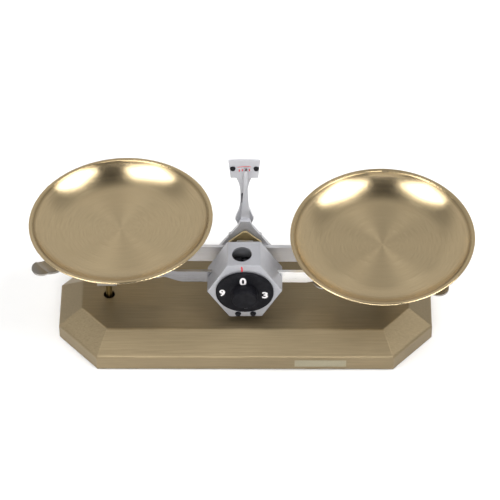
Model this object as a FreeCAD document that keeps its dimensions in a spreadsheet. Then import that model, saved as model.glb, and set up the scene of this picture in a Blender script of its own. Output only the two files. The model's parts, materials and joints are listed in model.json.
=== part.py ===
import FreeCAD, Part
import os
import Sketcher

# Two-pan table balance. Millimetres, +Z up, +X to the right pan, -Y to the dial.
# Each piece is drawn about the middle of the base. The assembly then moves all of them by middle_x
# and middle_y, which puts the origin on the table under the middle of the whole balance.
# The beam turns on its centre knife edge, the yokes hang on the end knife edges, and a stay bar
# inside the base keeps them upright.

DIMENSIONS = (
    ("base_length", 330.8), ("base_width", 122.2), ("base_height", 31.0),
    ("skirt_bottom", 1.0), ("skirt_top", 15.7), ("slope_inset", 20.6), ("shell_wall", 1.5),
    ("corner_length", 35.0), ("corner_width", 37.3),
    ("slope_corner_length", 23.3), ("slope_corner_width", 24.9),
    ("fold_radius", 3.0), ("cover_bottom", 2.0), ("cover_wall", 1.0),
    ("boss_across", 125.0), ("boss_along", 26.0), ("boss_radius", 4.0),
    ("foot_across", 95.0), ("foot_along", 44.0), ("foot_radius", 7.0), ("foot_stem", 2.0),
    ("rod_hole_radius", 5.05), ("middle_x", -6.04), ("middle_y", 1.48),
    ("pivot_height", 75.0), ("arm", 121.0), ("stay_height", 16.0), ("rest_tilt", 0.5),
    ("pillar_front", -1.9), ("pillar_back", 9.9), ("pillar_half", 14.5), ("pillar_wall", 1.5),
    ("pillar_shoulder", 90.0), ("pillar_apex", 103.5), ("pillar_foot_half", 25.0),
    ("pillar_foot_wall", 2.0), ("pillar_screw_across", 20.0), ("pillar_screw_along", 4.0),
    ("knife_half", 4.0), ("knife_slope", 6.93), ("knife_back", 10.0), ("knife_gap", 0.05),
    ("end_knife_half", 3.0), ("end_knife_slope", 5.2), ("end_knife_back", 8.0),
    ("bar_offset", 13.3), ("bar_wall", 3.0), ("bar_boss_radius", 6.5), ("bar_boss_drop", 4.0),
    ("front_bar_low", 64.0), ("front_bar_high", 76.8),
    ("rear_bar_low", 61.5), ("rear_bar_high", 80.0),
    ("housing_half", 32.8), ("housing_flat_half", 14.4), ("housing_rise", 33.3),
    ("housing_height", 70.6), ("housing_front", -31.4), ("housing_back", -3.4),
    ("housing_wall", 2.5), ("housing_skew", -1.5),
    ("window_radius", 8.6), ("window_across", -1.7), ("window_along", -17.9),
    ("dial_radius", 25.2), ("dial_wall", 2.2), ("dial_gap", 0.3),
    ("knob_radius", 11.4), ("knob_length", 8.4),
    ("shaft_radius", 2.0), ("running_fit", 0.05), ("bush_radius", 4.0), ("bush_flange", 6.0),
    ("tooth_module", 0.5), ("pinion_teeth", 12.0), ("pinion_wall", 5.0),
    ("poise_radius", 8.0), ("poise_half", 10.0), ("poise_height", 86.5), ("poise_along", -17.0),
    ("poise_start", -8.64), ("rack_half", 13.0), ("rack_low", 63.6), ("rack_plate", 2.0),
    ("yoke_half", 18.0), ("yoke_wall", 2.0), ("yoke_breadth", 17.0), ("yoke_low", 60.0),
    ("yoke_floor", 3.3), ("yoke_high", 100.0),
    ("rod_radius", 2.9), ("pin_radius", 1.5), ("pin_fit", 0.1), ("tongue_half", 1.5),
    ("cross_bottom", 102.5), ("cross_wall", 1.5), ("arm_half", 9.0), ("arm_reach", 69.8),
    ("cross_flat", 50.0), ("cross_lift", 6.5),
    ("left_cross_along", 3.9), ("right_cross_along", -7.5),
    ("left_cross_turn", -3.5), ("right_cross_turn", -4.7),
    ("pan_radius", 80.0), ("pan_lip", 4.0), ("pan_wall", 1.0), ("pan_depth", 12.0),
    ("pan_floor", 50.0), ("pan_curve", 37.4), ("pan_dish", 0.5), ("bead_radius", 0.9),
    ("left_pan_shift", 13.6), ("left_pan_height", 123.0),
    ("right_pan_shift", -1.6), ("right_pan_height", 118.15),
    ("left_pan_along", 4.7), ("right_pan_along", -7.4), ("left_roll", 2.1), ("left_pitch", 4.2),
    ("post_along", 25.0), ("post_wall", 3.0), ("post_shift", -0.5),
    ("plate_wall", 1.5), ("plate_low", 157.8), ("plate_high", 179.0),
    ("plate_low_half", 11.9), ("plate_high_half", 13.7), ("plate_crown", 0.8),
    ("frame_wall", 3.0), ("pointer_wall", 1.6), ("pointer_tip", 172.6),
    ("stay_half_height", 3.5), ("stay_half_width", 4.0),
    ("nut_across", 88.0), ("nut_radius", 5.5), ("nut_wall", 5.0), ("stud_radius", 2.0),
    ("spacer_across", 102.0), ("spacer_radius", 4.0),
)

V = FreeCAD.Vector
Rotation = FreeCAD.Rotation
Placement = FreeCAD.Placement

doc = FreeCAD.newDocument("balance")
sheet = doc.addObject("Spreadsheet::Sheet", "Dims")
for row, (alias, number) in enumerate(DIMENSIONS, start=1):
    sheet.set(f"A{row}", alias)
    sheet.set(f"B{row}", str(number))
    sheet.setAlias(f"B{row}", alias)
doc.recompute()


class Size:
    """A length or angle that carries both its value and the sheet expression that gives it."""

    def __init__(self, value, text=None):
        self.value = float(value)
        self.text = text or f"({self.value!r})"

    def __add__(self, other):
        other = as_size(other)
        return Size(self.value + other.value, f"({self.text} + {other.text})")

    def __sub__(self, other):
        other = as_size(other)
        return Size(self.value - other.value, f"({self.text} - {other.text})")

    def __mul__(self, other):
        other = as_size(other)
        return Size(self.value * other.value, f"({self.text} * {other.text})")

    def __truediv__(self, other):
        other = as_size(other)
        return Size(self.value / other.value, f"({self.text} / {other.text})")

    def __neg__(self):
        return Size(-self.value, f"(0 - {self.text})")

    __radd__ = __add__
    __rmul__ = __mul__

    def __rsub__(self, other):
        return as_size(other) - self


def as_size(number):
    return number if isinstance(number, Size) else Size(number)


def dim(alias):
    return Size(sheet.get(alias), f"Dims.{alias}")


# ---------------------------------------------------------------- drawing helpers

PLANES = {"xy": ("XY_Plane", 1), "xz": ("XZ_Plane", -1), "yz": ("YZ_Plane", 1)}
pieces = {}


def bind(thing, path, size):
    """Sets one number of an object from the sheet."""
    thing.setExpression(path, as_size(size).text)


def bind_constraint(sketch, kind, first, second, size):
    size = as_size(size)
    number = sketch.addConstraint(Sketcher.Constraint(kind, -1, 1, first, second, size.value))
    bind(sketch, f"Constraints[{number}]", size)


def bind_radius(sketch, edge, radius):
    number = sketch.addConstraint(Sketcher.Constraint("Radius", edge, radius.value))
    bind(sketch, f"Constraints[{number}]", radius)


def arc_between(start, end, radius, side):
    """Minor arc from start to end; side is +1 when its centre lies left of the way, else -1."""
    chord = end - start
    middle = (start + end) * 0.5
    height = max(radius * radius - chord.Length * chord.Length / 4, 0.0) ** 0.5
    left = V(-chord.y, chord.x, 0).normalize()
    centre = middle + left * (side * height)
    bulge = (middle - centre).normalize() * radius if height > 0 else -left * side * radius
    return Part.Arc(start, centre + bulge, end)


def draw_polygon(sketch, points):
    """Closed outline. A point is (x, y), or (x, y, radius, side) where an arc ends in it."""
    spots = [V(as_size(p[0]).value, as_size(p[1]).value, 0) for p in points]
    ends = []
    for i, point in enumerate(points):
        start = spots[i - 1]
        if len(point) == 2:
            edge = sketch.addGeometry(Part.LineSegment(start, spots[i]))
            ends.append((edge, 1, 2))
            continue
        radius = as_size(point[2])
        edge = sketch.addGeometry(arc_between(start, spots[i], radius.value, point[3]))
        ends.append((edge, 1, 2) if point[3] > 0 else (edge, 2, 1))
        bind_radius(sketch, edge, radius)
    for i, point in enumerate(points):
        edge, _, last = ends[i]
        following, first, _ = ends[(i + 1) % len(points)]
        sketch.addConstraint(Sketcher.Constraint("Coincident", edge, last, following, first))
        bind_constraint(sketch, "DistanceX", edge, last, point[0])
        bind_constraint(sketch, "DistanceY", edge, last, point[1])


def draw_circles(sketch, circles):
    """Circles, each (x, y, radius)."""
    for x, y, radius in circles:
        centre = V(as_size(x).value, as_size(y).value, 0)
        edge = sketch.addGeometry(Part.Circle(centre, V(0, 0, 1), as_size(radius).value))
        bind_constraint(sketch, "DistanceX", edge, 3, x)
        bind_constraint(sketch, "DistanceY", edge, 3, y)
        bind_radius(sketch, edge, as_size(radius))


def rectangle(x_low, x_high, y_low, y_high):
    return [(x_low, y_low), (x_high, y_low), (x_high, y_high), (x_low, y_high)]


def mirrored_outline(right_side):
    """Closed outline from the points of its right side, given from the bottom to the top."""
    left_side = [(-as_size(x), y) for x, y in reversed(right_side)]
    return list(right_side) + left_side


class Piece:
    """A sub-part made as a PartDesign body."""

    def __init__(self, label):
        self.body = doc.addObject("PartDesign::Body", label)
        self.body.Label = label
        self.count = 0
        pieces[label] = self.body

    def sketch(self, plane, offset, polygon=None, circles=None):
        role, sign = PLANES[plane]
        self.count += 1
        sketch = self.body.newObject("Sketcher::SketchObject", f"{self.body.Name}_sketch{self.count}")
        origin_plane = next(f for f in self.body.Origin.OriginFeatures if f.Role == role)
        sketch.AttachmentSupport = [(origin_plane, "")]
        sketch.MapMode = "FlatFace"
        bind(sketch, "AttachmentOffset.Base.z", offset * sign)
        if polygon:
            draw_polygon(sketch, polygon)
        if circles:
            draw_circles(sketch, circles)
        return sketch

    def sweep(self, kind, plane, span, polygon, circles):
        """Pad or Pocket whose material lies between the two offsets in span."""
        low, high = as_size(span[0]), as_size(span[1])
        profile = self.sketch(plane, (low + high) / 2, polygon, circles)
        feature = self.body.newObject(f"PartDesign::{kind}", f"{self.body.Name}_{kind}{self.count}")
        feature.Profile = profile
        feature.SideType = "Symmetric"
        bind(feature, "Length", high - low)
        return self

    def pad(self, plane, span, polygon=None, circles=None):
        return self.sweep("Pad", plane, span, polygon, circles)

    def pocket(self, plane, span, polygon=None, circles=None):
        return self.sweep("Pocket", plane, span, polygon, circles)

    def turn(self, plane, polygon, axis="V_Axis", kind="Revolution"):
        """Solid or groove of revolution about one axis of its own sketch."""
        profile = self.sketch(plane, as_size(0), polygon)
        feature = self.body.newObject(f"PartDesign::{kind}", f"{self.body.Name}_{kind}{self.count}")
        feature.Profile = profile
        feature.ReferenceAxis = (profile, [axis])
        feature.Angle = 360
        return self

    def loft(self, kind, low, low_outline, high, high_outline):
        """Straight-sided loft between two flat outlines."""
        bottom = self.sketch("xy", as_size(low), low_outline)
        top = self.sketch("xy", as_size(high), high_outline)
        feature = self.body.newObject(f"PartDesign::{kind}", f"{self.body.Name}_{kind}{self.count}")
        feature.Profile = bottom
        feature.Sections = [top]
        feature.Ruled = True
        return self

    def dress(self, kind, size, wanted):
        """Fillet or Chamfer on every edge that the test accepts."""
        doc.recompute()
        tip = self.body.Tip
        names = [f"Edge{i}" for i, edge in enumerate(tip.Shape.Edges, start=1) if wanted(edge)]
        if not names:
            raise ValueError(f"{self.body.Label}: no edge to dress")
        feature = self.body.newObject(f"PartDesign::{kind}", f"{self.body.Name}_{kind}_{self.count}")
        feature.Base = (tip, names)
        bind(feature, "Radius" if kind == "Fillet" else "Size", size)
        self.count += 1
        return self


def middle_of(edge):
    return edge.valueAt((edge.FirstParameter + edge.LastParameter) / 2)


def near(number, size, slack=0.02):
    return abs(number - as_size(size).value) < slack


def is_along(edge, axis):
    """True for a straight edge that runs along the axis vector."""
    if edge.Curve.TypeId != "Part::GeomLine":
        return False
    way = edge.Vertexes[1].Point - edge.Vertexes[0].Point
    return abs(way.normalize().dot(axis)) > 0.999


TURNS = {
    "+z": Rotation(),
    "-z": Rotation(V(1, 0, 0), 180),
    "+x": Rotation(V(0, 1, 0), 90),
    "-x": Rotation(V(0, 1, 0), -90),
    "+y": Rotation(V(1, 0, 0), -90),
    "-y": Rotation(V(1, 0, 0), 90),
}


def put(thing, spot, axis="+z"):
    """Places a primitive and ties its position to the sheet."""
    values = [as_size(number) for number in spot]
    thing.Placement = Placement(V(*[v.value for v in values]), TURNS[axis])
    for letter, value in zip("xyz", values):
        bind(thing, f"Placement.Base.{letter}", value)
    return thing


def cylinder(radius, length, spot, axis="+z"):
    rod = doc.addObject("Part::Cylinder", "rod")
    bind(rod, "Radius", radius)
    bind(rod, "Height", length)
    return put(rod, spot, axis)


def cone(low_radius, high_radius, length, spot, axis="+z"):
    taper = doc.addObject("Part::Cone", "taper")
    bind(taper, "Radius1", low_radius)
    bind(taper, "Radius2", high_radius)
    bind(taper, "Height", length)
    return put(taper, spot, axis)


def box(low, high):
    """Block between two opposite corners."""
    block = doc.addObject("Part::Box", "block")
    for side, start, end in zip(("Length", "Width", "Height"), low, high):
        bind(block, side, as_size(end) - as_size(start))
    return put(block, low)


def hexagon(across_flats, length, spot, axis="+z"):
    nut = doc.addObject("Part::Prism", "hexagon")
    nut.Polygon = 6
    bind(nut, "Circumradius", as_size(across_flats) * 0.57735)
    bind(nut, "Height", length)
    return put(nut, spot, axis)


def joined(solids):
    fuse = doc.addObject("Part::MultiFuse", "joined")
    fuse.Shapes = solids
    return fuse


def cut(solid, tools):
    result = doc.addObject("Part::Cut", "cut")
    result.Base = solid
    result.Tool = tools[0] if len(tools) == 1 else joined(tools)
    return result


def shared(first, second):
    result = doc.addObject("Part::Common", "shared")
    result.Base = first
    result.Tool = second
    return result


def group(solids):
    compound = doc.addObject("Part::Compound", "group")
    compound.Links = solids
    return compound


def sub_part(label, thing):
    thing.Label = label
    pieces[label] = thing
    return thing


BACKWARD = {"+z": "-z", "-z": "+z", "+x": "-x", "-x": "+x", "+y": "-y", "-y": "+y"}


def screw(spot, axis, head_radius, head_height, shank_radius, length):
    """Screw whose head stands out of the seat at spot along axis, with a cross recess."""
    head = cone(head_radius, head_radius * 0.8, head_height, spot, axis)
    shank = cylinder(shank_radius, length, spot, BACKWARD[axis])
    way = TURNS[axis].multVec(V(0, 0, 1))
    reach = [as_size(s) + head_height * 0.55 * c for s, c in zip(spot, way)]
    slots = []
    for spin in (0, 90):
        slot = doc.addObject("Part::Box", "slot")
        slot.Length = head_radius * 1.1
        slot.Width = head_radius * 0.26
        slot.Height = head_height
        turn = TURNS[axis] * Rotation(V(0, 0, 1), spin)
        corner = V(*[r.value for r in reach]) + turn.multVec(V(-slot.Length.Value, -slot.Width.Value, 0) * 0.5)
        slot.Placement = Placement(corner, turn)
        slots.append(slot)
    return cut(joined([head, shank]), slots)


# ---------------------------------------------------------------- base

half_length = dim("base_length") / 2
half_width = dim("base_width") / 2
sheet_inset = dim("shell_wall")


def octagon(inset, corner_length, corner_width):
    """Octagon of the base at some inset from its outline, seen from above."""
    x = half_length - inset
    y = half_width - inset
    return [
        (x, corner_width - y), (x, y - corner_width), (x - corner_length, y), (corner_length - x, y),
        (-x, y - corner_width), (-x, corner_width - y), (corner_length - x, -y), (x - corner_length, -y),
    ]


def make_base_shell():
    """Pressed sheet cover with a straight skirt, a sloping shoulder and a flat top."""
    shell = Piece("base_shell")
    outer = octagon(0, dim("corner_length"), dim("corner_width"))
    top = octagon(dim("slope_inset"), dim("slope_corner_length"), dim("slope_corner_width"))
    shell.pad("xy", (dim("skirt_bottom"), dim("skirt_top")), outer)
    shell.loft("AdditiveLoft", dim("skirt_top"), outer, dim("base_height"), top)
    fold_heights = (dim("skirt_top"), dim("base_height"))
    shell.dress("Fillet", dim("fold_radius"), lambda e: any(
        near(e.Vertexes[0].Z, z) and near(e.Vertexes[1].Z, z) for z in fold_heights))
    inner = octagon(sheet_inset, dim("corner_length") - 0.65, dim("corner_width") - 0.6)
    inner_top = octagon(dim("slope_inset") + 0.6, dim("slope_corner_length") - 0.2,
                        dim("slope_corner_width") - 0.2)
    shell.pocket("xy", (dim("skirt_bottom") - 1, dim("skirt_top") - 0.6), inner)
    shell.loft("SubtractiveLoft", dim("skirt_top") - 0.6, inner,
               dim("base_height") - dim("shell_wall"), inner_top)
    bosses = [(sx * dim("boss_across"), sy * dim("boss_along"), dim("boss_radius"))
              for sx in (-1, 1) for sy in (-1, 1)]
    shell.pad("xy", (dim("cover_bottom") + dim("cover_wall"), dim("base_height") - 1), circles=bosses)
    holes = [(x, y, Size(1.5)) for x, y, _ in bosses]
    shell.pocket("xy", (dim("skirt_bottom"), dim("base_height") - 6), circles=holes)
    through = [(side * dim("arm"), as_size(0), dim("rod_hole_radius")) for side in (-1, 1)]
    through += [(side * dim("pillar_screw_across"), dim("pillar_screw_along"), Size(2.0)) for side in (-1, 1)]
    through += [(dim("post_shift") + side * 12.0, dim("post_along"), Size(1.5)) for side in (-1, 1)]
    shell.pocket("xy", (dim("base_height") - 4, dim("base_height") + 2), circles=through)


def make_bottom():
    """Flat cover under the base, with its screws and rubber feet."""
    low = dim("cover_bottom")
    cover = Piece("bottom_cover")
    cover.pad("xy", (low, low + dim("cover_wall")),
              octagon(sheet_inset + 0.3, dim("corner_length") - 0.8, dim("corner_width") - 0.7))
    spots = [(sx, sy) for sx in (-1, 1) for sy in (-1, 1)]
    holes = [(sx * dim("boss_across"), sy * dim("boss_along"), Size(1.5)) for sx, sy in spots]
    holes += [(sx * dim("foot_across"), sy * dim("foot_along"), dim("foot_stem")) for sx, sy in spots]
    cover.pocket("xy", (low - 1, low + dim("cover_wall") + 1), circles=holes)
    screws = [screw((sx * dim("boss_across"), sy * dim("boss_along"), low), "-z", 2.9, 1.5, 1.5, 9)
              for sx, sy in spots]
    sub_part("cover_screws", group(screws))
    feet = []
    for sx, sy in spots:
        x = sx * dim("foot_across")
        y = sy * dim("foot_along")
        pad = cone(dim("foot_radius") - 0.6, dim("foot_radius"), low, (x, y, 0))
        stem = cylinder(dim("foot_stem"), dim("cover_wall"), (x, y, low))
        cap = cone(dim("foot_stem") + 0.8, dim("foot_stem"), 1.6, (x, y, low + dim("cover_wall")))
        feet.append(joined([pad, stem, cap]))
    sub_part("rubber_feet", group(feet))


def make_pillar():
    """Folded channel that carries the centre bearing: back web with a gable, two sides and feet."""
    base = dim("base_height")
    front, back = dim("pillar_front"), dim("pillar_back")
    half, wall = dim("pillar_half"), dim("pillar_wall")
    pillar = Piece("pillar")
    pillar.pad("xz", (back - wall, back), mirrored_outline([
        (half, base), (half, dim("pillar_shoulder")), (Size(1.5), dim("pillar_apex"))]))
    for side in (-1, 1):
        edges = sorted((side * half, side * (half - wall)), key=lambda s: s.value)
        pillar.pad("yz", tuple(edges), rectangle(front, back, base, dim("pillar_shoulder") - 4))
    pillar.pad("xy", (base, base + dim("pillar_foot_wall")),
               rectangle(-dim("pillar_foot_half"), dim("pillar_foot_half"), front, back))
    pillar.pocket("xz", (back - 4, back + 1), rectangle(Size(-8), Size(8), dim("pivot_height") - 6,
                                                       dim("pivot_height") + 14))
    pillar.pocket("xy", (base - 1, base + 4), circles=[
        (side * dim("pillar_screw_across"), dim("pillar_screw_along"), Size(2.0)) for side in (-1, 1)])
    pillar.dress("Fillet", Size(0.6), lambda e: is_along(e, V(0, 1, 0))
                 and middle_of(e).z > dim("pillar_shoulder").value - 1)
    nut_top = base - dim("shell_wall") - 1.5
    screws = [screw((side * dim("pillar_screw_across"), dim("pillar_screw_along"),
                     base + dim("pillar_foot_wall")), "+z", 3.6, 2.4, 2.0, 9) for side in (-1, 1)]
    sub_part("pillar_screws", group(screws))
    nuts = []
    for side in (-1, 1):
        spot = (side * dim("pillar_screw_across"), dim("pillar_screw_along"), nut_top - 2.4)
        nuts.append(cut(hexagon(7.0, 2.4, spot), [cylinder(2.0, 2.4, spot)]))
    sub_part("pillar_nuts", group(nuts))
    seat = dim("pivot_height") - dim("knife_gap")
    bearing = Piece("centre_bearing")
    inner = half - wall
    bearing.pad("xz", (front, back - wall), [
        (-inner, seat - 13), (inner, seat - 13), (inner, seat + 3), (Size(5.2), seat + 3),
        (as_size(0), seat), (Size(-5.2), seat + 3), (-inner, seat + 3)])


def make_stay():
    """Lower link: bar with forked ends on a pin in a bracket under the base top."""
    level, half_height = dim("stay_height"), dim("stay_half_height")
    half, reach = dim("stay_half_width"), dim("arm") + 4
    bar = Piece("stay_bar")
    bar.pad("xy", (level - half_height, level + half_height), rectangle(-reach, reach, -half, half))
    bar.pocket("xz", (-half - 1, half + 1), circles=[
        (as_size(0), level, dim("pin_radius") + dim("running_fit"))])
    bar.pocket("xz", (-half - 1, half + 1), circles=[
        (side * dim("arm"), level, dim("pin_radius")) for side in (-1, 1)])
    for side in (-1, 1):
        ends = sorted((side * (dim("arm") - 6), side * (reach + 1)), key=lambda s: s.value)
        bar.pocket("xy", (level - 5, level + 5),
                   rectangle(ends[0], ends[1], -dim("tongue_half") - 0.3, dim("tongue_half") + 0.3))
    for side in (-1, 1):
        ends = sorted((side * 11, side * (dim("arm").value - 14)))
        for edge in (-1, 1):
            faces = sorted((edge * 2.0, edge * 5.0))
            bar.pocket("xy", (level - 5, level + 5), rectangle(Size(ends[0]), Size(ends[1]),
                                                              Size(faces[0]), Size(faces[1])))
    pins = [cylinder(dim("pin_radius"), half * 2, (side * dim("arm"), -half, level), "+y")
            for side in (-1, 1)]
    sub_part("stay_pins", group(pins))
    flange_top = dim("base_height") - dim("shell_wall")
    bracket = Piece("stay_bracket")
    bracket.pad("xy", (flange_top - 1.5, flange_top), rectangle(Size(-25), Size(25), Size(-9), Size(9)))
    for side in (-1, 1):
        faces = sorted((side * 4.6, side * 6.6))
        bracket.pad("xz", (Size(faces[0]), Size(faces[1])), mirrored_outline([
            (Size(4), level - 5), (Size(8), flange_top - 1)]))
    bracket.pocket("xz", (Size(-9), Size(9)), circles=[(as_size(0), level, dim("pin_radius"))])
    bracket.pocket("xy", (flange_top - 3, flange_top + 1), circles=[
        (side * dim("pillar_screw_across"), dim("pillar_screw_along"), Size(2.0)) for side in (-1, 1)])
    sub_part("stay_pivot_pin", cylinder(dim("pin_radius"), 15, (0, -7.5, level), "+y"))


def make_post():
    """Fixed post behind the beam, with the scale plate that the pointer plays over."""
    base, along, wall = dim("base_height"), dim("post_along"), dim("post_wall")
    front, back = along - wall / 2, along + wall / 2
    shift = dim("post_shift")
    profile = [
        (Size(9), base), (Size(9), base + 8), (Size(6), base + 22), (Size(5.4), Size(95.9)),
        (Size(8.2), Size(104.3)), (Size(4.3), Size(117)), (Size(3.3), Size(127)), (Size(3.3), Size(141)),
        (Size(4.2), Size(149)), (Size(5.9), Size(154.5)), (Size(7.6), dim("plate_low") + 0.6),
        (dim("plate_low_half") - 1.2, dim("plate_low") + 0.8),
        (dim("plate_high_half") - 1.2, dim("plate_high") - 4.2)]
    outline = [(shift + x, z) for x, z in profile] + [(shift - x, z) for x, z in reversed(profile)]
    post = Piece("scale_post")
    post.pad("xz", (front, back), outline)
    post.pad("xy", (base, base + 2.5), rectangle(shift - 16, shift + 16, along - 6, along + 6))
    post.pocket("xz", (front - 1, front + 1.6), [
        (shift + 2.4, Size(125), Size(2.45), 1), (shift + 2.4, Size(136)),
        (shift - 2.4, Size(136), Size(2.45), 1), (shift - 2.4, Size(125))])
    post.pocket("xy", (base - 1, base + 4), circles=[(shift + side * 12.0, along, Size(1.5)) for side in (-1, 1)])
    post.dress("Fillet", Size(2.2), lambda e: is_along(e, V(0, 1, 0)) and near(middle_of(e).z, 104.3, 0.2))
    screws = [screw((shift + side * 12.0, along, base + 2.5), "+z", 2.9, 1.9, 1.5, 7) for side in (-1, 1)]
    sub_part("post_screws", group(screws))
    plate = Piece("scale_plate")
    low, high = dim("plate_low"), dim("plate_high")
    plate_outline = [
        (dim("plate_low_half"), low), (dim("plate_high_half"), high),
        (-dim("plate_high_half"), high, Size(118), 1), (-dim("plate_low_half"), low)]
    plate.pad("xz", (front - dim("plate_wall"), front), plate_outline)
    plate.dress("Fillet", Size(0.5), lambda e: is_along(e, V(0, 1, 0)))
    screws = []
    for side in (-1, 1):
        spot = (side * 10.1 + 0.2, front - dim("plate_wall"), Size(169.5))
        screws.append(screw(spot, "-y", 2.45, 1.5, 1.2, 1.4))
    sub_part("scale_plate_screws", group(screws))
    plate.pocket("xz", (front - 4, front + 0.1), circles=[
        (side * 10.1 + 0.2, Size(169.5), Size(1.2)) for side in (-1, 1)])


# ---------------------------------------------------------------- beam

knife_level = dim("pivot_height")


def knife_outline(half, slope, back, x=0, up=1):
    """Section of a knife whose edge lies on the pivot level, blade up (+1) or down (-1)."""
    return [(as_size(x), knife_level), (x - half * up, knife_level - slope * up),
            (x - half * up, knife_level - back * up), (x + half * up, knife_level - back * up),
            (x + half * up, knife_level - slope * up)]


def end_knife_outline(side):
    return knife_outline(dim("end_knife_half"), dim("end_knife_slope"), dim("end_knife_back"),
                         side * dim("arm"))


def make_bar(label, along, low, high, low_run, high_run):
    """Side bar of the beam; low_run and high_run shape its edges towards the bosses at its ends."""
    bar = Piece(label)
    boss = dim("bar_boss_radius")
    level = knife_level - dim("bar_boss_drop")
    tip = dim("arm")
    right = [(x, low + rise) for x, rise in low_run] + [(tip, level - boss)]
    upper = [(x, high + rise) for x, rise in reversed(high_run)]
    points = right + [(tip + boss, level, boss, 1), (tip, level + boss, boss, 1)] + upper
    mirror = [(-x, z) for x, z, *_ in reversed(upper)]
    points += mirror + [(-tip, level + boss), (-tip - boss, level, boss, 1), (-tip, level - boss, boss, 1)]
    points += [(-x, low + rise) for x, rise in reversed(low_run)]
    bar.pad("xz", (along - dim("bar_wall") / 2, along + dim("bar_wall") / 2), points)
    for side in (-1, 1):
        bar.pocket("xz", (along - 3, along + 3), end_knife_outline(side))
    holes = [(side * dim("spacer_across"), level, Size(1.5)) for side in (-1, 1)]
    bar.pocket("xz", (along - 3, along + 3), circles=holes)
    return bar


def make_beam_frame():
    offset, wall = dim("bar_offset"), dim("bar_wall")
    make_bar("front_bar", -offset, dim("front_bar_low"), dim("front_bar_high"),
             [(Size(54), Size(0)), (Size(60), Size(1.6)), (Size(70), Size(6.2)), (Size(100), Size(6.2))],
             [(Size(60), Size(0.3)), (Size(76), Size(3.6)), (Size(100), Size(3.6))])
    rear = make_bar("rear_bar", offset, dim("rear_bar_low"), dim("rear_bar_high"),
                    [(Size(62), Size(0))], [(Size(62), Size(0))])
    centre = knife_outline(dim("knife_half"), dim("knife_slope"), dim("knife_back"), 0, -1)
    # the wide back of the centre knife reaches above the bar, so the bar has a hump over it
    rear.pad("xz", (offset - wall / 2, offset + wall / 2), [
        (Size(11), dim("rear_bar_high") - 4), (Size(7.5), knife_level + dim("knife_back") + 3),
        (Size(-7.5), knife_level + dim("knife_back") + 3), (Size(-11), dim("rear_bar_high") - 4)])
    rear.pocket("xz", (offset - 3, offset + 3), centre)
    rear.pocket("xz", (offset - 3, offset + 3), circles=[
        (side * 18.0, Size(71), Size(1.5)) for side in (-1, 1)])
    knife = Piece("centre_knife")
    knife.pad("xz", (dim("housing_back") - 5, offset + wall / 2), centre)
    inner = offset - wall / 2
    level = knife_level - dim("bar_boss_drop")
    spacers = []
    screws = []
    for side in (-1, 1):
        label = "left" if side < 0 else "right"
        x = side * dim("spacer_across")
        tube = cylinder(dim("spacer_radius"), inner * 2, (x, -inner, level), "+y")
        bore = cylinder(1.5, inner * 2, (x, -inner, level), "+y")
        stud_hole = cylinder(dim("stud_radius"), 6, (x, 0, level), "-x" if side > 0 else "+x")
        spacers.append(cut(tube, [bore, stud_hole]))
        for face in (-1, 1):
            seat = (x, face * (offset + wall / 2), level)
            screws.append(screw(seat, "-y" if face < 0 else "+y", 2.8, 1.0, 1.5, 9))
        blade = Piece(f"end_knife_{label}")
        blade.pad("xz", (-dim("yoke_half") - 0.5, dim("yoke_half") + 0.5), end_knife_outline(side))
        inward = "-x" if side > 0 else "+x"
        start = x - side * 1.6
        stud = joined([cylinder(dim("stud_radius"), 26, (start, 0, level), inward),
                       cylinder(dim("stud_radius") + 1.2, 1.2, (start - side * 26, 0, level), inward)])
        sub_part(f"nut_stud_{label}", stud)
        nut_start = side * dim("nut_across")
        outer = cylinder(dim("nut_radius"), dim("nut_wall"), (nut_start, 0, level), inward)
        lip = cylinder(dim("nut_radius") - 1.6, 2, (nut_start - side * dim("nut_wall"), 0, level), inward)
        hole = cylinder(dim("stud_radius") + dim("running_fit"), 10, (nut_start + side * 1, 0, level), inward)
        sub_part(f"zero_nut_{label}", cut(joined([outer, lip]), [hole]))
    sub_part("bar_spacers", group(spacers))
    sub_part("spacer_screws", group(screws))


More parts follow.
